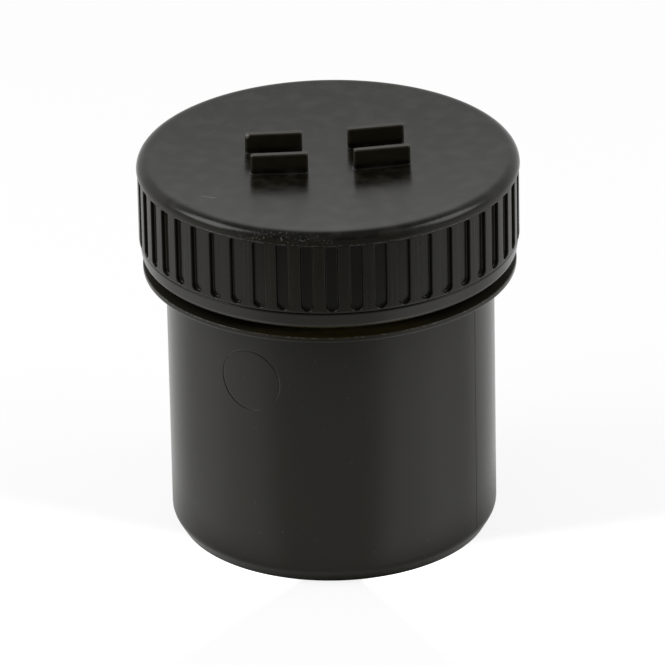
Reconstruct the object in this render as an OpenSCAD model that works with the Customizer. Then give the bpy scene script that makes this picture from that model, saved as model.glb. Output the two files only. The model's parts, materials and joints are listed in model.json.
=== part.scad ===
// Pipe access plug: a pipe spigot with a threaded neck, closed by a ribbed screw cap on a flat washer.
// The spigot stands on its open end at z = 0 and the cap is on top, done up against the washer.

/* [Spigot] */
// Outside diameter of the spigot and of the threaded neck
spigot_d = 56; // [40:0.5:110]
// Wall of the spigot and of the neck
spigot_wall = 2.6; // [2:0.1:4]
// Length of the spigot from its open end to the underside of the flange
spigot_len = 47.4; // [25:0.1:80]
// Length of the lead-in taper at the open end
lead_in_len = 2.4; // [1:0.1:5]
// How far the lead-in taper narrows the spigot's radius
lead_in_depth = 1.4; // [0.4:0.1:1.8]

/* [Flange] */
// Thickness of the flange that stops the spigot in its socket
flange_t = 1; // [1:0.1:4]
// Radius of the flange's upper edge
flange_upper_r = 0.2; // [0.1:0.05:0.3]
// Radius of the flange's lower edge
flange_lower_r = 0.35; // [0.3:0.05:0.6]
// How far the flange's edge lies inside the cap's
flange_inset = 0.7; // [0:0.1:2]

/* [Neck and thread] */
// Length of the neck from the top of the flange to its rim
neck_len = 14; // [10:0.1:30]
// Bevel on the outer edge of the neck's rim
rim_bevel = 0.5; // [0.2:0.1:1]
// Rise of the thread in one turn
thread_pitch = 4; // [3.6:0.1:6]
// Turns of the thread on the neck and in the cap
thread_turns = 2.25; // [1:0.05:2.4]
// How far a thread stands out of its wall
thread_h = 1.2; // [0.8:0.05:1.6]
// Width of a thread's flat crest
thread_crest_w = 1.2; // [0.6:0.05:1.3]
// Width of a thread where it is rooted in its wall
thread_root_w = 2.2; // [1.6:0.05:2.3]
// Gap between a thread's crest and the wall that it runs along
thread_gap = 0.4; // [0.25:0.05:0.7]
// Angle over which a thread fades out at each end
thread_fade = 30; // [10:5:60]

/* [Washer] */
// Thickness of the washer
washer_t = 2.2; // [1:0.1:4]
// Gap between the washer's outer edge and the cap's inner wall
washer_gap = 0.9; // [0.3:0.1:1.1]
// How far the washer reaches inside the bore
washer_overhang = 0.9; // [0:0.1:3]

/* [Cap] */
// Thickness of the cap's roof at its edge
roof_t = 3; // [2.4:0.1:6]
// How far the middle of the cap's face is sunk below its edge
face_dish = 0.9; // [0.2:0.1:1.2]
// Wall of the cap's skirt at the bottom of the grooves
skirt_wall = 2.1; // [1.4:0.1:4]
// Gap between the skirt's lower edge and the flange
skirt_gap = 1.6; // [0.5:0.1:2.5]
// Radius of the rounded upper edge of the cap
cap_edge_r = 1.8; // [0.8:0.1:2.4]
// Step from the rounded edge down to the ribs
edge_step = 0.15; // [0:0.05:0.3]

/* [Grip ribs] */
// Number of ribs round the skirt
rib_count = 49; // [24:1:60]
// Width of the groove between two ribs
groove_w = 2.1; // [1:0.1:2.2]
// Depth of a groove below the ribs
groove_depth = 0.7; // [0.4:0.1:1.4]
// Angle from the cap's Y axis to the middle of the first groove
groove_turn = 1.5; // [0:0.1:7]
// Height of the plain band under the ribs
band_h = 3.1; // [2:0.1:5]
// Step from the ribs in to the plain band
band_step = 0.15; // [0.1:0.05:0.8]
// How far the plain band leans in towards its lower edge
band_lean = 0.2; // [0:0.05:0.4]
// Land left between a groove's rounded end and the plain band
groove_stop = 0.4; // [0.2:0.1:2]
// Land left between a groove's square end and the rounded edge
groove_head = 0.5; // [0.1:0.1:2]

/* [Lugs] */
// Length of a lug
lug_len = 9.75; // [5:0.05:14]
// Thickness of a lug
lug_t = 1.45; // [1.3:0.05:3]
// Height of a lug above the middle of the cap's face
lug_h = 3.6; // [2:0.1:8]
// Radius of a lug's upright corners
lug_corner_r = 0.6; // [0.1:0.05:0.6]
// Slot between the two lugs of a pair, which takes a flat bar
lug_slot = 7.3; // [4:0.1:12]
// Distance between the two pairs
pair_gap = 7.7; // [4:0.1:14]
// Angle by which each pair is turned at its middle, so that the two pairs stand in a shallow V
pair_turn = 3.3; // [0:0.1:6]

/* [Hidden] */
$fn = 180;
// Steps of a thread in one turn
thread_steps = 72;
// How deep a thread is rooted inside its wall
thread_bury = 0.4;
// Height of a thread's faded end above its buried foot, as a share
fade_start = 0.1;
// Bevels on the bore's two edges, on the washer's mouth and on the cap's mouth
bore_bevel = 0.3;
mouth_bevel = 0.6;
// Radii of the band's upper and lower edges
band_upper_r = 0.3;
band_lower_r = 1.2;
// Cuts run past the faces that they open by this much
over = 1;

spigot_r = spigot_d / 2;
bore_r = spigot_r - spigot_wall;
thread_r = spigot_r + thread_h;
cap_bore_r = thread_r + thread_gap;
cap_thread_r = cap_bore_r - thread_h;
groove_r = cap_bore_r + skirt_wall;
rib_r = groove_r + groove_depth;
cap_r = rib_r + edge_step;
band_r = rib_r - band_step;
band_foot_r = band_r - band_lean;
flange_r = cap_r - flange_inset;

flange_top_z = spigot_len + flange_t;
rim_z = flange_top_z + neck_len;
washer_top_z = rim_z + washer_t;
face_z = washer_top_z + roof_t;
skirt_z = flange_top_z + skirt_gap;
cap_h = face_z - skirt_z;
rib_top_z = face_z - cap_edge_r;
band_top_z = skirt_z + band_h;

// The neck's thread ends just under the bevel of the rim, and the cap's thread lies midway between its turns
thread_len = thread_pitch * thread_turns;
neck_thread_z = rim_z - rim_bevel - thread_root_w / 2 - thread_len;
cap_thread_z = neck_thread_z + thread_pitch / 2;
cap_thread_turns = (rim_z - thread_root_w / 2 - cap_thread_z) / thread_pitch;

// The dished face is part of a sphere through the inner edge of the rounded rim
dish_r = cap_r - cap_edge_r;
dish_sphere_r = (dish_r * dish_r + face_dish * face_dish) / (2 * face_dish);

// How far a thread stands out at step i of n, faded at both ends
function fade(i, n) =
    let (run = thread_fade / 360 * thread_steps)
    fade_start + (1 - fade_start) * min(1, i / run, (n - i) / run);

// A helical ridge from the radius foot_r to the radius crest_r, with its middle starting at z0
module helical_ridge(foot_r, crest_r, z0, turns) {
    n = round(turns * thread_steps);
    side = sign(crest_r - foot_r);
    points = [
        for (i = [0 : n])
            let (
                a = 360 * i / thread_steps,
                z = z0 + thread_pitch * i / thread_steps,
                r = foot_r + (crest_r - foot_r) * fade(i, n)
            )
            for (p = [[foot_r, -thread_root_w], [r, -thread_crest_w], [r, thread_crest_w], [foot_r, thread_root_w]])
                [p[0] * cos(a), p[0] * sin(a), z + side * p[1] / 2]
    ];
    sides = [
        for (i = [0 : n - 1])
            for (j = [0 : 3])
                [4 * i + j, 4 * i + (j + 1) % 4, 4 * i + 4 + (j + 1) % 4, 4 * i + 4 + j]
    ];
    ends = [[3, 2, 1, 0], [4 * n, 4 * n + 1, 4 * n + 2, 4 * n + 3]];
    polyhedron(points, concat(sides, ends), convexity = 10);
}

// Half section of the spigot, the flange and the neck
module spigot_section() {
    difference() {
        union() {
            polygon([
                [bore_r, 0],
                [spigot_r - lead_in_depth, 0],
                [spigot_r, lead_in_len],
                [spigot_r, rim_z - rim_bevel],
                [spigot_r - rim_bevel, rim_z],
                [bore_r, rim_z]
            ]);
            translate([bore_r, spigot_len])
                square([flange_r - flange_lower_r - bore_r, flange_t]);
            translate([bore_r, spigot_len + flange_lower_r]) {
                square([flange_r - bore_r, flange_t - flange_lower_r - flange_upper_r]);
                square([flange_r - flange_upper_r - bore_r, flange_t - flange_lower_r]);
            }
            translate([flange_r - flange_lower_r, spigot_len + flange_lower_r])
                circle(flange_lower_r, $fn = 48);
            translate([flange_r - flange_upper_r, flange_top_z - flange_upper_r])
                circle(flange_upper_r, $fn = 48);
        }
        for (z = [0, rim_z])
            translate([bore_r, z])
                rotate(45)
                    square(bore_bevel * sqrt(2), center = true);
    }
}

// The pipe spigot with its stop flange and the threaded neck above it
module spigot_body() {
    color([0.06, 0.06, 0.06])
        union() {
            rotate_extrude()
                spigot_section();
            helical_ridge(spigot_r - thread_bury, thread_r, neck_thread_z, thread_turns);
        }
}

// The flat rubber washer on the neck's rim
module seal_washer() {
    color([0.12, 0.12, 0.12])
        translate([0, 0, rim_z])
            difference() {
                cylinder(h = washer_t, r = cap_bore_r - washer_gap);
                translate([0, 0, -over])
                    cylinder(h = washer_t + 2 * over, r = bore_r - washer_overhang);
            }
}

// Half section of the cap without its grooves, thread and lugs
module cap_section() {
    difference() {
        union() {
            translate([0, band_top_z])
                square([rib_r, rib_top_z - band_top_z]);
            translate([0, rib_top_z])
                square([cap_r - cap_edge_r, cap_edge_r]);
            intersection() {
                translate([cap_r - cap_edge_r, rib_top_z])
                    circle(cap_edge_r, $fn = 96);
                translate([0, rib_top_z])
                    square([cap_r, cap_edge_r]);
            }
            polygon([
                [0, skirt_z + band_lower_r],
                [band_foot_r, skirt_z + band_lower_r],
                [band_r, band_top_z - band_upper_r],
                [0, band_top_z - band_upper_r]
            ]);
            translate([0, band_top_z - band_upper_r])
                square([band_r - band_upper_r, band_upper_r]);
            translate([band_r - band_upper_r, band_top_z - band_upper_r])
                circle(band_upper_r, $fn = 48);
            translate([0, skirt_z])
                square([band_foot_r - band_lower_r, band_lower_r]);
            translate([band_foot_r - band_lower_r, skirt_z + band_lower_r])
                circle(band_lower_r, $fn = 48);
        }
        translate([0, face_z - face_dish + dish_sphere_r])
            circle(dish_sphere_r, $fn = 720);
        translate([0, skirt_z - over])
            square([cap_bore_r, cap_h - roof_t + over]);
        translate([cap_bore_r, skirt_z])
            rotate(45)
                square(mouth_bevel * sqrt(2), center = true);
    }
}

// One groove cut into the skirt, square under the rounded edge and rounded at its lower end
module groove_cut() {
    low_z = band_top_z + groove_stop + groove_w / 2;
    translate([0, -groove_r, low_z])
        rotate([90, 0, 0])
            cylinder(h = groove_depth + over, d = groove_w, $fn = 24);
    translate([-groove_w / 2, -rib_r - over, low_z])
        cube([groove_w, groove_depth + over, rib_top_z - groove_head - low_z]);
}

// Outline of one lug about its middle, with rounded upright corners
module lug_outline() {
    for (inset = [[0, lug_corner_r], [lug_corner_r, 0]])
        square([lug_len - 2 * inset[0], lug_t - 2 * inset[1]], center = true);
    for (x = [-1, 1])
        for (y = [-1, 1])
            translate([x * (lug_len / 2 - lug_corner_r), y * (lug_t / 2 - lug_corner_r)])
                circle(lug_corner_r, $fn = 32);
}

// The four lugs: two pairs end to end, with the bar's slot between the lugs of each pair
module lugs() {
    foot_z = face_z - roof_t / 2;
    top_z = face_z - face_dish + lug_h;
    for (pair = [-1, 1])
        for (side = [-1, 1])
            translate([pair * (pair_gap + lug_len) / 2, side * (lug_slot + lug_t) / 2, foot_z])
                rotate(pair * pair_turn)
                    linear_extrude(top_z - foot_z)
                        lug_outline();
}

// The screw cap: dished roof with lugs, ribbed skirt with a plain band, and the thread inside
module screw_cap() {
    color([0.09, 0.09, 0.09])
        union() {
            difference() {
                rotate_extrude()
                    cap_section();
                for (i = [0 : rib_count - 1])
                    rotate(groove_turn + i * 360 / rib_count)
                        groove_cut();
            }
            helical_ridge(cap_bore_r + thread_bury, cap_thread_r, cap_thread_z, cap_thread_turns);
            lugs();
        }
}

spigot_body();
seal_washer();
screw_cap();
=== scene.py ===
import json
import math

import bpy
import numpy as np
from mathutils import Matrix, Vector


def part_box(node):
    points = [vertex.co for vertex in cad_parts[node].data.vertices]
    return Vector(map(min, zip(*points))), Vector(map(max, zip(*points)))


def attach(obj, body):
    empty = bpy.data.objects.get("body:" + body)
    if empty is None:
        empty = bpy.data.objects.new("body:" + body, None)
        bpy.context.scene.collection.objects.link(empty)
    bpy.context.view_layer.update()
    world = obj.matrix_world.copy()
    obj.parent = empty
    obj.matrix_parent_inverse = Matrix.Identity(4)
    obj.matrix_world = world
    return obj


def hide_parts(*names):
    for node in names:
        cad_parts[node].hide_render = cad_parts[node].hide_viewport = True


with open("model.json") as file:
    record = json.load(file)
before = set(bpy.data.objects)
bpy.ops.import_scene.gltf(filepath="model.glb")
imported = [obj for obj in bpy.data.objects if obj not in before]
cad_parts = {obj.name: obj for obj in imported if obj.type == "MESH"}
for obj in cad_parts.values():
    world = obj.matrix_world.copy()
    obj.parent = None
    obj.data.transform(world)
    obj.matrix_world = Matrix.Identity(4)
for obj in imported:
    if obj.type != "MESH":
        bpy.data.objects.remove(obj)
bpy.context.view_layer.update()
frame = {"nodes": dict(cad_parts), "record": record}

# The viewpoint: a long lens 1.3 metres away, raised about 26 degrees and rolled by a degree.
# It looks across the plug's lugs, which run along the X axis.
MM = 0.001
camera_turn = math.radians(-96.3)
camera_rise = math.radians(25.763)
camera_roll = math.radians(1.142)
camera_distance = 1300 * MM
aim_height = 34.6 * MM
aim_offset = (0.21 * MM, -0.49 * MM)
lens_length = 410.9
sensor_width = 36.0

camera_back = Vector((
    math.cos(camera_rise) * math.cos(camera_turn),
    math.cos(camera_rise) * math.sin(camera_turn),
    math.sin(camera_rise),
))
camera_right = Vector((-math.sin(camera_turn), math.cos(camera_turn), 0))
camera_up = camera_back.cross(camera_right)
camera = bpy.data.objects.new("camera", bpy.data.cameras.new("camera"))
camera.data.lens = lens_length
camera.data.sensor_width = sensor_width
camera.data.clip_start = 10 * MM
facing = Matrix((camera_right, camera_up, camera_back)).transposed()
aim = Vector((0, 0, aim_height)) + camera_right * aim_offset[0] + camera_up * aim_offset[1]
camera.matrix_world = (
    Matrix.Translation(aim + camera_back * camera_distance)
    @ (facing @ Matrix.Rotation(-camera_roll, 3, "Z")).to_4x4()
)
bpy.context.scene.collection.objects.link(camera)
bpy.context.scene.camera = camera


# The spigot body: one black ABS moulding, glossy from a polished mould. The plain spigot is cemented
# into a pipe socket up to the thin flange, and the threaded neck above it takes the cap.
# Two mould halves left a fine parting line down each side, and an ejector left a round mark between.
spigot_mount = next(m for m in frame["record"]["mounts"] if m["name"] == "spigot")
spigot_r = spigot_mount["dims"]["r_mm"] * MM
body_low, body_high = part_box("spigot_body")
flange_r = min(-body_low.x, body_high.x)
neck_top = body_high.z
bore_r = 25.4 * MM
lead_in_r = 26.6 * MM
lead_in_top = 2.4 * MM
lead_in_foot_r = 0.12 * MM
lead_in_bend_r = 2.5 * MM
flange_under = 47.4 * MM
flange_top = 48.4 * MM
flange_lower_r = 0.35 * MM
flange_upper_r = 0.2 * MM
flange_root_r = 0.35 * MM
neck_root_r = 0.3 * MM
neck_bevel = 0.5 * MM
bore_bevel = 0.3 * MM
edge_r = 0.1 * MM
arc_step = math.radians(15)


def rounded(corners, closed=False, steps=None):
    """Points (across, up, normal across, normal up) of an outline with its material on the left.

    Each corner is (across, up, fillet radius), and an open outline keeps its two ends as they are.
    steps gives every fillet the same number of points, whatever its turn.
    """
    spots = [np.array(c[:2], float) for c in corners]
    made = []
    for i, spot in enumerate(spots):
        before = spots[i - 1] if closed or i else None
        after = spots[(i + 1) % len(spots)] if closed or i < len(spots) - 1 else None
        way_in = None if before is None else math.atan2(*(spot - before)[::-1])
        way_out = None if after is None else math.atan2(*(after - spot)[::-1])
        if way_in is None or way_out is None:
            way = way_out if way_in is None else way_in
            made.append((*spot, math.sin(way), -math.cos(way)))
            continue
        turn = (way_out - way_in + math.pi) % (2 * math.pi) - math.pi
        if abs(turn) < 1e-4 and not steps:
            made.append((*spot, math.sin(way_in), -math.cos(way_in)))
            continue
        radius = corners[i][2]
        back = radius * math.tan(abs(turn) / 2)
        start = spot - back * np.array((math.cos(way_in), math.sin(way_in)))
        parts = steps or max(3, math.ceil(abs(turn) / arc_step))
        for step in range(parts + 1):
            way = way_in + turn * step / parts
            bend = math.copysign(radius, turn)
            across = start[0] + bend * (math.sin(way) - math.sin(way_in))
            up = start[1] - bend * (math.cos(way) - math.cos(way_in))
            made.append((across, up, math.sin(way), -math.cos(way)))
    return np.array(made)


class Shell:
    """The skin of a moulding: points with their own normals, and the faces between them."""

    def __init__(self):
        self.points, self.normals, self.faces, self.count = [], [], [], 0

    def add(self, points, normals):
        """Adds points and gives their numbers, in the shape of the list of points."""
        points = np.asarray(points, float)
        shape = points.shape[:-1]
        self.points.append(points.reshape(-1, 3))
        self.normals.append(np.asarray(normals, float).reshape(-1, 3))
        numbers = np.arange(self.count, self.count + len(self.points[-1])).reshape(shape)
        self.count += numbers.size
        return numbers

    def band(self, lower, upper):
        """Faces from one closed row of points to the next, all the way round."""
        right = np.roll(np.arange(len(lower)), -1)
        for j in range(len(lower)):
            self.faces.append((lower[j], lower[right[j]], upper[right[j]], upper[j]))

    def turned(self, outline, angles):
        """Rows of points of an outline (radius, height, normals) turned about the axis."""
        c, s = np.cos(angles), np.sin(angles)
        r, z, nr, nz = (outline[:, k, None] for k in range(4))
        flat = np.ones_like(c)
        points = np.stack((r * c, r * s, z * flat), axis=-1)
        normals = np.stack((nr * c, nr * s, nz * flat), axis=-1)
        return self.add(points, normals)

    def relief(self, edge, outline, section, place):
        """Fills the hole inside a loop of points with a raised or sunk shape and closes it.

        outline gives the shape's own edge moved out by a distance, with as many points as the hole.
        section gives (distance, height, normals) from the hole inward. place puts a point in space.
        """
        outer = edge
        for distance, height, normal_out, normal_up in section:
            spots, ways = outline(distance)
            inner = self.add(*place(spots, height, ways * normal_out, normal_up))
            self.band(outer, inner)
            outer = inner
        self.faces.append(tuple(outer))

    def piece(self, name, *finishes):
        """Makes the mesh object, smooth, with the points' own normals."""
        mesh = bpy.data.meshes.new(name)
        faces = [tuple(int(v) for v in face) for face in self.faces]
        mesh.from_pydata(np.vstack(self.points).tolist(), [], faces)
        mesh.polygons.foreach_set("use_smooth", [True] * len(mesh.polygons))
        normals = np.vstack(self.normals)
        normals /= np.linalg.norm(normals, axis=1)[:, None]
        mesh.normals_split_custom_set_from_vertices(normals.tolist())
        for finish in finishes:
            mesh.materials.append(finish)
        made = bpy.data.objects.new(name, mesh)
        bpy.context.scene.collection.objects.link(made)
        return made


def loop_of(grid, rows, columns):
    """The points round a block of a grid, anticlockwise from its lower left corner."""
    (r0, r1), (c0, c1) = rows, columns
    return np.concatenate((
        grid[r0, c0:c1], grid[r0:r1, c1], grid[r1, c1:c0:-1], grid[r1:r0:-1, c0],
    ))


def rounded_box(low, high, low_r, high_r, counts, bend_steps):
    """A function for Shell.relief: a box (low and high corners) with rounded lower and upper corners.

    counts are the points along its width and its height, each run ending halfway round a corner.
    bend_steps of them go to each half corner, and the rest to the straight run between.
    """
    sharpest_r = 0.02 * MM

    def outline(distance):
        x0, y0 = low[0] - distance, low[1] - distance
        x1, y1 = high[0] + distance, high[1] + distance
        r0, r1 = max(low_r + distance, sharpest_r), max(high_r + distance, sharpest_r)
        corners = (
            ((x0 + r0, y0 + r0), r0, 225), ((x1 - r0, y0 + r0), r0, 315),
            ((x1 - r1, y1 - r1), r1, 45), ((x0 + r1, y1 - r1), r1, 135),
        )
        spots, ways = [], []
        for side in range(4):
            (centre, radius, angle), (centre2, radius2, angle2) = corners[side], corners[(side + 1) % 4]
            first = np.radians(np.linspace(angle, angle + 45, bend_steps + 1))
            second = np.radians(np.linspace(angle2 - 45, angle2, bend_steps + 1))
            leave = np.array(centre) + radius * np.stack((np.cos(first), np.sin(first)), -1)
            reach = np.array(centre2) + radius2 * np.stack((np.cos(second), np.sin(second)), -1)
            share = np.linspace(0, 1, counts[side % 2] - 2 * bend_steps + 1)[1:-1, None]
            spots += [leave, leave[-1] * (1 - share) + reach[0] * share, reach[:-1]]
            turn = np.concatenate((first, np.full(len(share), first[-1]), second[:-1]))
            ways.append(np.stack((np.cos(turn), np.sin(turn)), -1))
        return np.vstack(spots), np.vstack(ways)
    return outline


def on_cylinder(radius, angle, height):
    """A function for Shell.relief that wraps a shape round an upright cylinder."""
    def place(spots, out, ways, normal_up):
        turn = angle + spots[:, 0] / radius
        c, s, zero = np.cos(turn), np.sin(turn), np.zeros(len(turn))
        radial = np.stack((c, s, zero), -1)
        along = np.stack((-s, c, zero), -1)
        points = radial * (radius + out)
        points[:, 2] = height + spots[:, 1]
        normals = radial * normal_up + along * ways[:, :1]
        normals[:, 2] += ways[:, 1]
        return points, normals
    return place


mark_turn = math.radians(-126)
mark_height = 37.2 * MM
mark_r = 5.5 * MM
mark_depth = 0.1 * MM
mark_floor = 0.06 * MM
mark_columns = 14
mark_reach = spigot_r * math.radians(mark_columns)
parting_turns = [math.radians(-36), math.radians(144)]
parting_height = 0.06 * MM
parting_half_w = 0.13 * MM

# Rows of points: wide apart below the round mark, close together across it, and wide in the bore.
tube_heights = np.arange(5, 28, 3) * MM
mark_heights = np.linspace(mark_height - mark_reach, mark_height + mark_reach, 2 * mark_columns + 1)
bore_heights = np.arange(58, 4, -6) * MM
body_outline = rounded([
    (bore_r, bore_bevel, edge_r),
    (bore_r + bore_bevel, 0, edge_r),
    (lead_in_r, 0, lead_in_foot_r),
    (spigot_r, lead_in_top, lead_in_bend_r),
    *[(spigot_r, z, 0) for z in tube_heights],
    *[(spigot_r, z, 0) for z in mark_heights],
    (spigot_r, flange_under, flange_root_r),
    (flange_r, flange_under, flange_lower_r),
    (flange_r, flange_top, flange_upper_r),
    (spigot_r, flange_top, neck_root_r),
    (spigot_r, neck_top - neck_bevel, edge_r),
    (spigot_r - neck_bevel, neck_top, edge_r),
    (bore_r + bore_bevel, neck_top, edge_r),
    (bore_r, neck_top - bore_bevel, edge_r),
    *[(bore_r, z, 0) for z in bore_heights],
], closed=True)

# One column of points for each degree, as mark_columns expects, and seven across each parting line.
ridge_steps = np.linspace(-1, 1, 7)
even_angles = np.radians(np.arange(-180, 180))
body_angles = [a for a in even_angles if min(abs(a - p) for p in parting_turns) > 1e-6]
body_angles += [p + k * parting_half_w / spigot_r for p in parting_turns for k in ridge_steps]
body_angles = np.sort(np.array(body_angles))

body = Shell()
body_grid = body.turned(body_outline, body_angles)

# The parting lines are low round ridges, so their columns of points move out and their normals lean.
body_points, body_normals = (a[0].reshape(*body_grid.shape, 3) for a in (body.points, body.normals))
on_wall = (body_outline[:, 0] > spigot_r - 1e-7) & (body_outline[:, 1] < flange_under)
for parting in parting_turns:
    for k in ridge_steps:
        column = int(np.argmin(abs(body_angles - parting - k * parting_half_w / spigot_r)))
        rise = parting_height * (0.5 + 0.5 * math.cos(math.pi * k))
        lean = math.pi * parting_height / (2 * parting_half_w) * math.sin(math.pi * k)
        c, s = math.cos(body_angles[column]), math.sin(body_angles[column])
        body_points[on_wall, column] += np.array((c, s, 0)) * rise
        body_normals[on_wall, column] += np.array((-s, c, 0)) * lean

# The round mark fills a block of rows and columns that the turned skin leaves open.
mark_row = int(np.argmin(abs(body_outline[:, 1] - mark_heights[0]) + abs(body_outline[:, 0] - spigot_r)))
mark_column = int(np.argmin(abs(body_angles - (mark_turn - math.radians(mark_columns)))))
mark_block = ((mark_row, mark_row + 2 * mark_columns), (mark_column, mark_column + 2 * mark_columns))
open_block = np.zeros(body_grid.shape, bool)
open_block[slice(*mark_block[0]), slice(*mark_block[1])] = True
for row, column in np.argwhere(~open_block):
    above = (row + 1) % body_grid.shape[0]
    right = (column + 1) % body_grid.shape[1]
    body.faces.append((
        body_grid[row, column], body_grid[row, right], body_grid[above, right], body_grid[above, column],
    ))

# From the tube's skin inward: a steep edge, a shallow gutter at its foot and the flat floor.
# The disc is a box whose corners are rounded by all but a hair of its half width.
mark_section = rounded([
    (0.6 * MM, 0, 0),
    (0.25 * MM, 0, 0),
    (0.12 * MM, 0, 0.05 * MM),
    (-0.03 * MM, -mark_depth, 0.06 * MM),
    (-0.3 * MM, -mark_floor, 0.1 * MM),
    (-0.5 * MM, -mark_floor, 0),
    *[(-mark_r * share, -mark_floor, 0) for share in (0.3, 0.5, 0.7, 0.85, 0.95)],
])
body.relief(
    loop_of(body_grid, *mark_block),
    rounded_box(
        (-mark_r, -mark_r), (mark_r, mark_r), low_r=mark_r * 0.998, high_r=mark_r * 0.998,
        counts=(2 * mark_columns, 2 * mark_columns), bend_steps=mark_columns - 1,
    ),
    mark_section,
    on_cylinder(spigot_r, mark_turn, mark_height),
)

thread_pitch = 4 * MM
thread_h = 1.2 * MM
thread_crest_w = 1.2 * MM
thread_root_w = 2.2 * MM
thread_edge_r = 0.2 * MM
thread_sink = 0.3 * MM
thread_turns = 2.25
thread_start = neck_top - neck_bevel - thread_root_w / 2 - thread_pitch * thread_turns
thread_steps = 96
thread_fade = 1 / 12


def thread(shell, wall_r, rise, start, turns):
    """A helical ridge with a flat crest and faded ends, sunk a little into a round wall.

    rise is how far it stands out of the wall, and is negative inside a bore.
    """
    side = math.copysign(1, rise)
    half_foot, half_crest, foot_r = thread_root_w / 2, thread_crest_w / 2, wall_r - side * thread_sink
    count = round(turns * thread_steps)
    rings = []
    for i in range(count + 1):
        share = min(1, i / thread_steps / thread_fade, (count - i) / thread_steps / thread_fade)
        crest_r = foot_r + side * (thread_sink * 0.5 + (abs(rise) + thread_sink * 0.5) * share)
        section = rounded([
            (foot_r, -side * half_foot, 0),
            (crest_r, -side * half_crest, thread_edge_r),
            (crest_r, side * half_crest, thread_edge_r),
            (foot_r, side * half_foot, 0),
        ], steps=4)
        angle = 2 * math.pi * i / thread_steps
        c, s = math.cos(angle), math.sin(angle)
        height = start + thread_pitch * i / thread_steps
        points = [(p[0] * c, p[0] * s, height + p[1]) for p in section]
        rings.append(shell.add(points, [(p[2] * c, p[2] * s, p[3]) for p in section]))
    for near, far in zip(rings, rings[1:]):
        shell.band(far, near)
    shell.faces.append(tuple(rings[0]))
    shell.faces.append(tuple(rings[-1][::-1]))


thread(body, spigot_r, thread_h, thread_start, thread_turns)

seam_steps = 1440
seam_sink = 0.1 * MM
flange_seam_height = flange_top - 0.14 * MM


def ragged_seam(shell, wall_r, height, rise, half_w, seed):
    """The thin ragged ridge that plastic leaves where two parts of a mould meet."""
    rough = np.random.default_rng(seed).random(seam_steps)
    rough = (rough + np.roll(rough, 1) + np.roll(rough, 2)) / 3
    crest = wall_r + rise * (1.4 * rough - 0.2)
    foot = np.full(seam_steps, wall_r - seam_sink)
    angles = np.arange(seam_steps) * 2 * np.pi / seam_steps
    c, s = np.cos(angles), np.sin(angles)
    rows = []
    for radius, up, normal_up in (
        (foot, -half_w, -3), (crest, -half_w / 4, -0.7), (crest, half_w / 4, 0.7), (foot, half_w, 3),
    ):
        points = np.stack((radius * c, radius * s, np.full(seam_steps, height + up)), -1)
        rows.append(shell.add(points, np.stack((c, s, np.full(seam_steps, normal_up)), -1)))
    for lower, upper in zip(rows, rows[1:] + rows[:1]):
        shell.band(lower, upper)


ragged_seam(
    body, wall_r=flange_r - 0.04 * MM, height=flange_seam_height, rise=0.05 * MM, half_w=0.09 * MM, seed=3,
)


class Value:
    """A socket of a node tree, so that shader maths reads as an expression."""

    def __init__(self, graph, socket):
        self.graph, self.socket = graph, socket

    def maths(self, operation, *others):
        """A Math node that takes this value and others."""
        inputs = dict(enumerate((self, *others)))
        return self.graph.node("ShaderNodeMath", {"operation": operation}, inputs)

    def __add__(self, other):
        return self.maths("ADD", other)

    def __sub__(self, other):
        return self.maths("SUBTRACT", other)

    def __mul__(self, other):
        return self.maths("MULTIPLY", other)

    def __rsub__(self, other):
        return self.graph.node("ShaderNodeMath", {"operation": "SUBTRACT"}, {0: other, 1: self})

    __radd__ = __add__
    __rmul__ = __mul__

    def between(self, low, high):
        """0 below low, 1 above high and smooth between them."""
        settings = {"interpolation_type": "SMOOTHSTEP"}
        inputs = {"Value": self, "From Min": low, "From Max": high}
        return self.graph.node("ShaderNodeMapRange", settings, inputs)


class Graph:
    """The node tree of a finish, or of the studio's walls."""

    def __init__(self, tree):
        self.tree = tree
        tree.nodes.clear()

    def node(self, kind, settings=None, inputs=None, output=0):
        """Adds a node: its settings first, then the values or links of its sockets."""
        made = self.tree.nodes.new(kind)
        for name, value in (settings or {}).items():
            setattr(made, name, value)
        for name, value in (inputs or {}).items():
            if isinstance(value, Value):
                self.tree.links.new(value.socket, made.inputs[name])
            else:
                made.inputs[name].default_value = value
        return Value(self, made.outputs[output] if made.outputs else None)

    def noise(self, place, scale, detail):
        """Smooth noise between 0 and 1, with scale waves to the metre."""
        return self.node("ShaderNodeTexNoise", None, {"Vector": place, "Scale": scale, "Detail": detail})

    def dot(self, place, way):
        """How far a place lies along a way, given as a unit vector."""
        settings = {"operation": "DOT_PRODUCT"}
        return self.node("ShaderNodeVectorMath", settings, {0: place, 1: way}, "Value")

    def stretched(self, place, shares):
        """A place with its coordinates multiplied by three shares."""
        return self.node("ShaderNodeVectorMath", {"operation": "MULTIPLY"}, {0: place, 1: shares})

    def from_axis(self, place):
        """How far a place lies from the plug's axis."""
        settings = {"operation": "LENGTH"}
        return self.node("ShaderNodeVectorMath", settings, {0: self.stretched(place, (1, 1, 0))}, "Value")

    def dots(self, place, scale, share, size):
        """1 in small round dots: space is split into cells, and a share of them holds one each."""
        cells = {"Vector": place, "Scale": scale}
        apart = self.node("ShaderNodeTexVoronoi", None, cells, "Distance")
        tint = self.node("ShaderNodeTexVoronoi", None, cells, "Color")
        chosen = self.node("ShaderNodeSeparateColor", None, {"Color": tint}).between(1 - share, 1)
        return (1 - apart.between(size * 0.4, size)) * chosen

    def grey(self, level, warmth=0.0):
        """A near neutral colour of a level that changes over the surface, browner with warmth."""
        shares = {0: level, 1: level * (1 - warmth * 0.2), 2: level * (1 - warmth)}
        return self.node("ShaderNodeCombineColor", None, shares)


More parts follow.
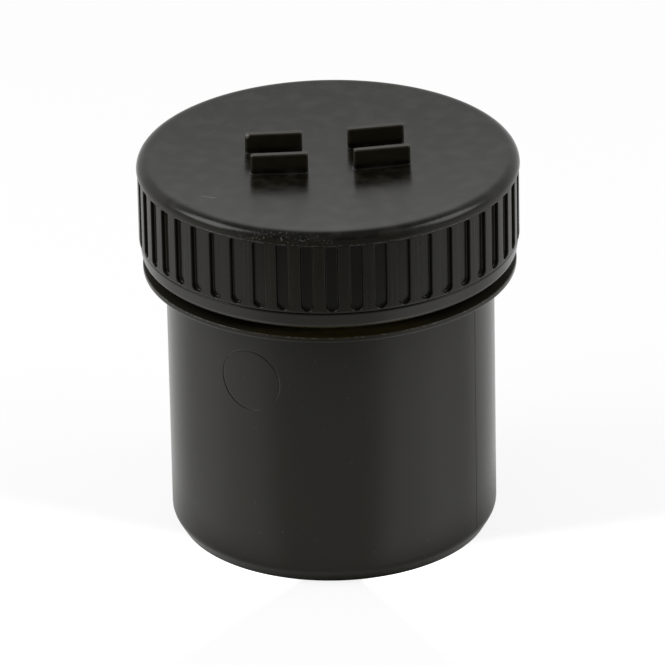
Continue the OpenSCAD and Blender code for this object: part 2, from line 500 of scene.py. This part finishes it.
def moulded_plastic(name, grain, specks, wear_and_painted_light):
    """Black moulded plastic with faint flow, fine grain and small pale specks of dust.

    grain is the depth of its grain and specks the share of places that hold a speck. The function for a
    piece gives
    what is special to it: grime together with painted light and shade, its warm share, roughness and height
    to add.
    """
    finish = bpy.data.materials.new(name)
    finish.use_nodes = True
    graph = Graph(finish.node_tree)
    place = graph.node("ShaderNodeTexCoord", None, None, "Object")
    flow = graph.noise(place, 90, 3)
    fine = graph.noise(place, 1400, 2)
    dust = graph.dots(place, 520, specks, 0.08)
    dirt_and_painted_light, brown, rough, raised = wear_and_painted_light(graph, place, fine)
    level = 0.0075 + flow * 0.004 + dust * 0.05 + dirt_and_painted_light
    height = fine * grain + flow * 3 + dust * 0.6 + raised
    bump = graph.node(
        "ShaderNodeBump", None, {"Height": height, "Strength": 1.0, "Distance": 0.006 * MM}, "Normal"
    )
    plastic = graph.node("ShaderNodeBsdfPrincipled", None, {
        "Base Color": graph.grey(level, 0.5 + brown - dust * 0.4),
        "Roughness": 0.17 + fine * 0.06 + flow * 0.05 + dust * 0.3 + rough,
        "Specular IOR Level": 0.2,
        "Normal": bump,
    })
    graph.node("ShaderNodeOutputMaterial", None, {"Surface": plastic})
    return finish


grease_and_painted_light_turn = math.radians(-92.3)


def grease_and_painted_light_patch(graph, place):
    """1 on the side of the plug where old brown greasy grime was pressed out of the thread, and where
    painted light lightens the gap under the cap.
    """
    towards = graph.dot(place, (math.cos(grease_and_painted_light_turn), math.sin(grease_and_painted_light_turn), 0))
    return towards.between(0.76 * flange_r, 0.97 * flange_r)


def body_wear_and_painted_light(graph, place, fine):
    """Dirt on the flange's top, brown greasy grime with painted light on one side, lighter toward the neck
    deep in the gap's shade, and pale frays along its seam.
    """
    height = graph.node("ShaderNodeSeparateXYZ", None, {"Vector": place}, "Z")
    radius = graph.from_axis(place)
    inward = 1 - radius.between(spigot_r + 0.8 * MM, flange_r - 0.3 * MM)
    on_seam = radius.between(flange_r - 0.16 * MM, flange_r - 0.08 * MM) * (
        height.between(flange_seam_height - 0.08 * MM, flange_seam_height)
    )
    frayed = on_seam * graph.noise(place, 1500, 3).between(0.5, 0.62)
    dirty = height.between(flange_top - 0.25 * MM, flange_top) * (
        1 - height.between(flange_top + 0.6 * MM, flange_top + 2.5 * MM)
    )
    grease_and_painted_light = dirty * grease_and_painted_light_patch(graph, place)
    patchy = 0.4 + graph.noise(place, 900, 3) * 1.2
    # Painted light: inward raises the greasy patch's base colour toward the neck, deep in the gap's shade.
    dirt_and_painted_light = (dirty * 0.001 + grease_and_painted_light * (0.004 + inward * 0.09)) * patchy + frayed * 0.04
    return dirt_and_painted_light, grease_and_painted_light * 0.25 - frayed * 0.4, dirty * 0.2, dirty * fine * 4


body_plastic = moulded_plastic("body plastic", grain=1.0, specks=0.9, wear_and_painted_light=body_wear_and_painted_light)
spigot_body = body.piece("spigot_body_moulding", body_plastic)
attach(spigot_body, "body")
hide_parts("spigot_body")


# The seal washer: a flat ring cut from black rubber sheet, matt and slightly dusty.
# It lies on the neck's rim and is squeezed there by the cap's roof.
def cut_rubber():
    """Matt black rubber with open pores and a faint grey bloom."""
    finish = bpy.data.materials.new("washer rubber")
    finish.use_nodes = True
    graph = Graph(finish.node_tree)
    place = graph.node("ShaderNodeTexCoord", None, None, "Object")
    bloom = graph.noise(place, 160, 4)
    pores = graph.noise(place, 2600, 2)
    bump = graph.node(
        "ShaderNodeBump", None, {"Height": pores, "Strength": 1.0, "Distance": 0.02 * MM}, "Normal"
    )
    rubber = graph.node("ShaderNodeBsdfPrincipled", None, {
        "Base Color": graph.grey(0.012 + bloom.between(0.4, 0.8) * 0.014),
        "Roughness": 0.62 + pores * 0.2,
        "Specular IOR Level": 0.3,
        "Normal": bump,
    })
    graph.node("ShaderNodeOutputMaterial", None, {"Surface": rubber})
    return finish


washer = frame["nodes"]["seal_washer"]
washer.data.materials.clear()
washer.data.materials.append(cut_rubber())


# The screw cap: one black ABS moulding, satin on its dished face. The rounded rim runs down to 49 grip
# ribs, whose grooves end square under the rim and round above a plain band. Two pairs of upright lugs,
# moulded on the face with small fillets, take the flat bar that turns the cap.
cap_low, cap_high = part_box("screw_cap")
cap_r = min(-cap_low.x, cap_high.x)
lug_top = cap_high.z
skirt_bottom = cap_low.z
face_edge = 67.6 * MM
roof_under = 64.6 * MM
face_dish = 0.9 * MM
rim_r = 1.8 * MM
rib_r = 32.4 * MM
band_r = 32.28 * MM
band_foot_r = 31.9 * MM
band_foot_bend_r = 1.2 * MM
band_top = 53.1 * MM
crease_w = 0.16 * MM
crease_depth = 0.6 * MM
crease_edge_r = 0.3 * MM
crease_floor_r = 0.03 * MM
groove_depth = 0.7 * MM
groove_w = 2.1 * MM
groove_low = 53.5 * MM
groove_high = 65.3 * MM
rib_count = 49
first_groove = math.radians(-88.5)
inner_r = 29.6 * MM
inner_bevel = 0.6 * MM
inner_bevel_r = 0.15 * MM
roof_corner_r = 0.4 * MM
rim_foot = face_edge - rim_r
rim_foot_r = 0.04 * MM
face_edge_r = 0.3 * MM
rib_steps = 8
side_steps = 8
rib_pitch = 2 * math.pi / rib_count
tile_low = band_top + crease_w / 2 + 0.11 * MM
tile_high = rim_foot - 0.06 * MM

# The round parts are turned: from the middle of the roof's underside down and round to the ribs'
# lower ends, and from their upper ends over the rim to the edge of the dish.
cap = Shell()
cap_angles = first_groove + rib_pitch * (np.arange(rib_count * rib_steps) / rib_steps - 0.5)
skirt_outline = rounded([
    (8 * MM, roof_under, 0),
    (20 * MM, roof_under, 0),
    (inner_r, roof_under, roof_corner_r),
    (inner_r, skirt_bottom + inner_bevel, inner_bevel_r),
    (inner_r + inner_bevel, skirt_bottom, inner_bevel_r),
    (band_foot_r, skirt_bottom, band_foot_bend_r),
    (band_r, band_top - crease_w / 2, crease_edge_r),
    (band_r - crease_depth, band_top - crease_w / 2, crease_floor_r),
    (band_r - crease_depth, band_top + crease_w / 2, crease_floor_r),
    (rib_r, band_top + crease_w / 2, edge_r),
    (rib_r, tile_low, 0),
])
rim_outline = rounded([
    (rib_r, tile_high, 0),
    (rib_r, rim_foot, rim_foot_r),
    (cap_r, rim_foot, rim_foot_r),
    (cap_r, face_edge, rim_r - 0.05 * MM),
    (cap_r - rim_r - 0.25 * MM, face_edge, face_edge_r),
    (29.3 * MM, face_edge - 0.07 * MM, 0),
])
skirt_rows = cap.turned(skirt_outline, cap_angles)
rim_rows = cap.turned(rim_outline, cap_angles)
for rows in (skirt_rows, rim_rows):
    for lower, upper in zip(rows, rows[1:]):
        cap.band(lower, upper)
cap.faces.append(tuple(skirt_rows[0][::-1]))

# Between them each tile of the skirt holds one groove, with half a rib on each side of it.
side_heights = np.linspace(tile_low, tile_high, side_steps + 1)[1:-1]
side_outline = np.array([(rib_r, z, 1, 0) for z in side_heights])
side_points = cap.turned(side_outline, cap_angles[::rib_steps])
groove_lip_r = 0.18 * MM
groove_floor_r = 0.2 * MM
groove_section = rounded([
    (0.2 * MM, 0, 0),
    (0.03 * MM, 0, groove_lip_r),
    (-0.06 * MM, -groove_depth, groove_floor_r),
    (-0.4 * MM, -groove_depth, 0),
])
groove_middle = (groove_low + groove_high) / 2
groove_outline = rounded_box(
    (-groove_w / 2, groove_low - groove_middle), (groove_w / 2, groove_high - groove_middle),
    low_r=groove_w / 2 - 0.01 * MM, high_r=0.25 * MM, counts=(rib_steps, side_steps), bend_steps=3,
)
for rib in range(rib_count):
    across = np.arange(rib * rib_steps, (rib + 1) * rib_steps + 1) % len(cap_angles)
    following = (rib + 1) % rib_count
    edge = np.concatenate((
        skirt_rows[-1][across], side_points[:, following], rim_rows[0][across[::-1]], side_points[::-1, rib],
    ))
    angle = first_groove + rib_pitch * rib
    cap.relief(edge, groove_outline, groove_section, on_cylinder(rib_r, angle, groove_middle))

dish_edge_r = cap_r - rim_r
dish_sphere_r = (dish_edge_r**2 + face_dish**2) / (2 * face_dish)


def on_face(x, y):
    """Height and normal of the dished face."""
    fall = dish_sphere_r - np.sqrt(dish_sphere_r**2 - x**2 - y**2)
    normals = np.stack((-x / dish_sphere_r, -y / dish_sphere_r, np.ones_like(x)), -1)
    return face_edge - face_dish + fall, normals


lug_length = 9.75 * MM
lug_thick = 1.45 * MM
lug_corner_r = 0.6 * MM
lug_fillet_r = 0.25 * MM
lug_top_r = 0.28 * MM
lug_draft = 0.03 * MM
lug_middle = 8.725 * MM
lug_spread = 4.375 * MM
lug_skew = math.radians(3.3)
lug_rise = lug_top - (face_edge - face_dish)
block_steps = (138, 58)
block_half = (15.18 * MM, 6.38 * MM)
lug_steps = (50, 16)
fill_shares = (0.04, 0.2, 0.4, 0.6, 0.8, 0.96)

# The face is a fine grid round the lugs, and six rings of points lead out from it to the rim.
block_x = np.linspace(-block_half[0], block_half[0], block_steps[0] + 1)
block_y = np.linspace(-block_half[1], block_half[1], block_steps[1] + 1)
grid_x, grid_y = np.meshgrid(block_x, block_y)
grid_z, grid_normals = on_face(grid_x, grid_y)
block = cap.add(np.stack((grid_x, grid_y, grid_z), -1), grid_normals)

block_edge = loop_of(block, (0, block_steps[1]), (0, block_steps[0]))
edge_xy = np.vstack(cap.points)[block_edge][:, :2]
block_corner = -math.pi / 2 * (1 + block_steps[0] / sum(block_steps))
rim_start = int(np.argmin(abs(np.angle(np.exp(1j * (cap_angles - block_corner))))))
rim_loop = np.roll(rim_rows[-1], -rim_start)
rim_xy = np.vstack(cap.points)[rim_loop][:, :2]
outer = rim_loop
for share in fill_shares:
    xy = rim_xy * (1 - share) + edge_xy * share
    z, normals = on_face(xy[:, 0], xy[:, 1])
    inner = cap.add(np.column_stack((xy, z)), normals)
    cap.band(outer, inner)
    outer = inner
cap.band(outer, block_edge)

lug_section = rounded([
    (0.42 * MM, 0, 0),
    (0, 0, lug_fillet_r),
    (-lug_draft, lug_rise, lug_top_r),
    (-0.36 * MM, lug_rise, 0),
])
lug_outline = rounded_box(
    (-lug_length / 2, -lug_thick / 2), (lug_length / 2, lug_thick / 2),
    low_r=lug_corner_r, high_r=lug_corner_r, counts=lug_steps, bend_steps=4,
)
covered = np.zeros((block_steps[1], block_steps[0]), bool)
for side_x in (-1, 1):
    for side_y in (-1, 1):
        middle = (side_x * lug_middle, side_y * lug_spread)
        skew = side_x * lug_skew
        column = int(np.argmin(abs((block_x[:-lug_steps[0]] + block_x[lug_steps[0]:]) / 2 - middle[0])))
        row = int(np.argmin(abs((block_y[:-lug_steps[1]] + block_y[lug_steps[1]:]) / 2 - middle[1])))
        covered[row:row + lug_steps[1], column:column + lug_steps[0]] = True

        def on_block(spots, out, ways, normal_up, middle=middle, skew=skew):
            """Stands a lug on the dished face, turned by its skew and with its top level."""
            turn = np.array(((math.cos(skew), math.sin(skew)), (-math.sin(skew), math.cos(skew))))
            x, y = (spots @ turn + middle).T
            z, face_normals = on_face(x, y)
            share = out / lug_rise
            height = (1 - share) * (z + out) + share * (lug_top - lug_rise + out)
            normals = face_normals * normal_up
            normals[:, :2] += ways @ turn
            return np.stack((x, y, height), -1), normals

        edge = loop_of(block, (row, row + lug_steps[1]), (column, column + lug_steps[0]))
        cap.relief(edge, lug_outline, lug_section, on_block)
for row, column in np.argwhere(~covered):
    cap.faces.append((
        block[row, column], block[row, column + 1], block[row + 1, column + 1], block[row + 1, column],
    ))

# The inner thread runs half a turn behind the neck's, so its ridges lie between the neck's ridges.
cap_thread_start = thread_start + thread_pitch / 2
cap_thread_turns = (neck_top - thread_root_w / 2 - cap_thread_start) / thread_pitch
thread(cap, inner_r, -thread_h, cap_thread_start, cap_thread_turns)

rim_seam_height = rim_foot - 0.19 * MM
ragged_seam(cap, wall_r=rib_r, height=rim_seam_height, rise=0.12 * MM, half_w=0.16 * MM, seed=5)

scuff_turn = math.radians(-109.3)
scratch_way = (0.91, -0.41, 0)
scratch_side = (-scratch_way[1], scratch_way[0], 0)
scratch_middle = (-14.3 * MM, -21.1 * MM)
chip_spot = (-13.3 * MM, 4.0 * MM, lug_top - 0.2 * MM)


def cap_wear_and_painted_light(graph, place, fine):
    """The cap's worn marks and painted light, from its lower edge up to the lugs.

    Dirt lies under the edge, scores run down the ribs, and pale frays stand on the seam under the
    rim with nicks above them. The face has a thin film, small dents, a scratch and a chipped lug.
    Painted shade darkens the grooves' floors and the face's base colour, and painted light lightens
    the lugs in patches and the brown greasy patch under the edge.
    """
    radius = graph.from_axis(place)
    height = graph.node("ShaderNodeSeparateXYZ", None, {"Vector": place}, "Z")

    on_skirt = height.between(groove_low - 0.3 * MM, groove_low) * (
        1 - height.between(groove_high, groove_high + 0.1 * MM)
    )
    # in_groove marks the grooves' floors, which get painted shade: their base colour is darkened below the
    # plain plastic.
    in_groove = on_skirt * radius.between(rib_r - 1.6 * MM, rib_r - 1.2 * MM) * (
        1 - radius.between(rib_r - 0.6 * MM, rib_r - 0.15 * MM)
    )
    on_rib = on_skirt * radius.between(rib_r - 0.05 * MM, rib_r)
    scores = on_rib * graph.noise(graph.stretched(place, (1, 1, 0.02)), 3400, 2)
    under = 1 - height.between(skirt_bottom + 0.2 * MM, skirt_bottom + 0.7 * MM)
    # The greasy patch under the cap's edge is partly painted light: its colour lightens the gap's shade
    # there.
    grease_and_painted_light = under * grease_and_painted_light_patch(graph, place)

    on_seam = height.between(rim_seam_height - 0.17 * MM, rim_seam_height - 0.1 * MM) * (
        1 - height.between(rim_seam_height + 0.1 * MM, rim_seam_height + 0.17 * MM)
    ) * radius.between(rib_r + 0.01 * MM, rib_r + 0.05 * MM)
    frayed = on_seam * graph.noise(place, 1700, 3).between(0.4, 0.6)
    scuffed = graph.dot(place, (math.cos(scuff_turn), math.sin(scuff_turn), 0))
    scuffed = scuffed.between(0.955 * cap_r, 0.985 * cap_r)
    scuffed = scuffed * height.between(rim_foot + 0.1 * MM, rim_foot + 0.4 * MM)
    nicks = scuffed * graph.noise(place, 2700, 2).between(0.58, 0.68)

    # face marks the dished face. Its base colour is darkened as painted shade, so that the top, lit from
    # above, stays dim; the film on it is real.
    face = height.between(rim_foot + 0.6 * MM, rim_foot + 0.8 * MM) * (
        1 - height.between(face_edge + 0.05 * MM, face_edge + 0.2 * MM)
    )
    film = face * graph.noise(place, 330, 4).between(0.4, 0.7)
    dents = face * graph.dots(graph.stretched(place, (1, 1, 0.02)), 170, 0.3, 0.05)
    along = (graph.dot(place, scratch_way) - scratch_middle[0]).maths("ABSOLUTE")
    across = (graph.dot(place, scratch_side) - scratch_middle[1]).maths("ABSOLUTE")
    scratch = face * (1 - along.between(1.2 * MM, 1.5 * MM)) * (1 - across.between(0.06 * MM, 0.16 * MM))
    # on_lug lightens the lugs' base colour in patches: painted light, standing in for light on their dim
    # fronts.
    on_lug = height.between(face_edge + 0.2 * MM, face_edge + 0.8 * MM) * graph.noise(place, 700, 3)
    settings = {"operation": "DISTANCE"}
    from_chip = graph.node("ShaderNodeVectorMath", settings, {0: place, 1: chip_spot}, "Value")
    chip = 1 - from_chip.between(0.25 * MM, 0.55 * MM)

    # Real grime and worn marks are summed here with painted light and shade: in_groove and face darken,
    # on_lug and the greasy patch lighten.
    dirt_and_painted_light = under * 0.006 + grease_and_painted_light * 0.02 - in_groove * 0.0015 + frayed * 0.05 + nicks * 0.05
    dirt_and_painted_light = dirt_and_painted_light + film * 0.009 - face * 0.0065 + on_lug * 0.009 + scratch * 0.06 + chip * fine * 0.25
    pale = nicks + scratch + chip + frayed + film * 0.6
    rough = under * 0.4 + scores * 0.15 + nicks * 0.15
    raised = scores * 9 + nicks * 8 - in_groove * fine * 1.3 - dents * 14
    return dirt_and_painted_light, grease_and_painted_light * 0.2 - pale * 0.4, rough, raised


cap_plastic = moulded_plastic("cap plastic", grain=1.6, specks=0.12, wear_and_painted_light=cap_wear_and_painted_light)
screw_cap = cap.piece("screw_cap_moulding", cap_plastic)
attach(screw_cap, "cap")
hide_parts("screw_cap")


# The studio: a sheet of white paper that ends a hand's breadth in front of the plug, a white wall
# behind and to the sides, a dim room on the camera's side, and two soft boxes, left and right.
paper_half = 6000 * MM
paper_front = 125 * MM
paper_grey = 0.88
paper_glow = 0.85
foot_shadow_reach = 14 * MM
glare_turn = math.radians(5)
glare_middle = 19 * MM
glare_begin = (math.radians(30), math.radians(57))
glare_end = (math.radians(80), math.radians(113))
glare_fade = (95 * MM, 150 * MM)
left_glare = 0.72
ahead = Vector((math.cos(camera_turn), math.sin(camera_turn), 0))


def white_paper():
    """Paper that is white to the eye and in reflections, and keeps the plug's shadow.

    It carries two painted pools of light, to the left and right of a point in front of the plug, for the
    plug's sides to reflect. Near the plug's foot, reflections show the plain paper in its shadow.
    """
    finish = bpy.data.materials.new("floor paper")
    finish.use_nodes = True
    graph = Graph(finish.node_tree)
    place = graph.node("ShaderNodeTexCoord", None, None, "Object")
    from_axis = graph.from_axis(place)
    rays = graph.node("ShaderNodeLightPath", None, None, "Is Camera Ray")
    glossy = graph.node("ShaderNodeLightPath", None, None, "Is Glossy Ray")
    through = graph.node("ShaderNodeLightPath", None, None, "Is Transmission Ray")
    past_foot = from_axis.between(spigot_r, spigot_r + foot_shadow_reach)
    seen = (rays + (glossy + through) * past_foot).maths("MINIMUM", 1.0)
    right = graph.dot(place, camera_right)
    turn = right.maths("ARCTAN2", graph.dot(place, ahead) - glare_middle) + glare_turn
    turn = turn.maths("ABSOLUTE")
    # Painted light: two sectors of the paper's emission are brighter, as pools of lamp light.
    painted_glare = turn.between(*glare_begin) * (1 - turn.between(*glare_end))
    painted_glare = painted_glare * (1 - from_axis.between(*glare_fade) * 0.8)
    bright = 1 + painted_glare * (left_glare + right.between(-10 * MM, 10 * MM) * (1 - left_glare))
    sheet = graph.node("ShaderNodeBsdfDiffuse", None, {"Color": (paper_grey, paper_grey, paper_grey, 1)})
    shown = graph.node("ShaderNodeEmission", None, {"Color": graph.grey(bright), "Strength": 1.0})
    mixed = graph.node("ShaderNodeMixShader", None, {0: seen * paper_glow, 1: sheet, 2: shown})
    graph.node("ShaderNodeOutputMaterial", None, {"Surface": mixed})
    return finish


paper_mesh = bpy.data.meshes.new("paper")
paper_mesh.from_pydata([
    ahead * paper_front - camera_right * paper_half, ahead * paper_front + camera_right * paper_half,
    camera_right * paper_half - ahead * paper_half, -camera_right * paper_half - ahead * paper_half,
], [], [(0, 1, 2, 3)])
paper_mesh.materials.append(white_paper())
paper = bpy.data.objects.new("paper", paper_mesh)
bpy.context.scene.collection.objects.link(paper)

room_level = 0.25
wall_level = 0.92
wall_edge = (math.radians(42), math.radians(62))
roof_level = 0.4
roof_edge = (math.radians(42), math.radians(66))
world = bpy.data.worlds.new("studio")
world.use_nodes = True
bpy.context.scene.world = world
sky = Graph(world.node_tree)
towards = sky.node("ShaderNodeTexCoord", None, None, "Generated")


def along(way):
    """How far a direction of the world points along a way."""
    return sky.node("ShaderNodeVectorMath", {"operation": "DOT_PRODUCT"}, {0: towards, 1: way}, "Value")


around = along(camera_right).maths("ARCTAN2", along(ahead)).maths("ABSOLUTE")
rise = along((0, 0, 1)).maths("ARCSINE")
wall = around.between(*wall_edge)
roof = rise.between(*roof_edge)
low = room_level + wall * (wall_level - room_level)
level = low + roof * (roof_level - low)
background = sky.node("ShaderNodeBackground", None, {"Color": sky.grey(level), "Strength": 1.0})
sky.node("ShaderNodeOutputWorld", None, {"Surface": background})

box_aim_height = 65 * MM
box_rise = math.radians(40)
box_distance = 500 * MM


def soft_box(name, turn, width, height, power):
    """An area lamp above the floor that faces the plug from an angle off the camera."""
    lamp = bpy.data.lights.new(name, "AREA")
    lamp.shape = "RECTANGLE"
    lamp.size = width
    lamp.size_y = height
    lamp.energy = power
    turn += camera_turn
    place = Vector((
        math.cos(box_rise) * math.cos(turn), math.cos(box_rise) * math.sin(turn), math.sin(box_rise),
    ))
    holder = bpy.data.objects.new(name, lamp)
    holder.matrix_world = (
        Matrix.Translation(place * box_distance + Vector((0, 0, box_aim_height)))
        @ place.to_track_quat("Z", "Y").to_matrix().to_4x4()
    )
    bpy.context.scene.collection.objects.link(holder)


soft_box("soft box left", turn=math.radians(-84), width=290 * MM, height=270 * MM, power=1.43)
soft_box("soft box right", turn=math.radians(87), width=250 * MM, height=250 * MM, power=0.88)

bpy.context.scene.view_settings.view_transform = "Standard"
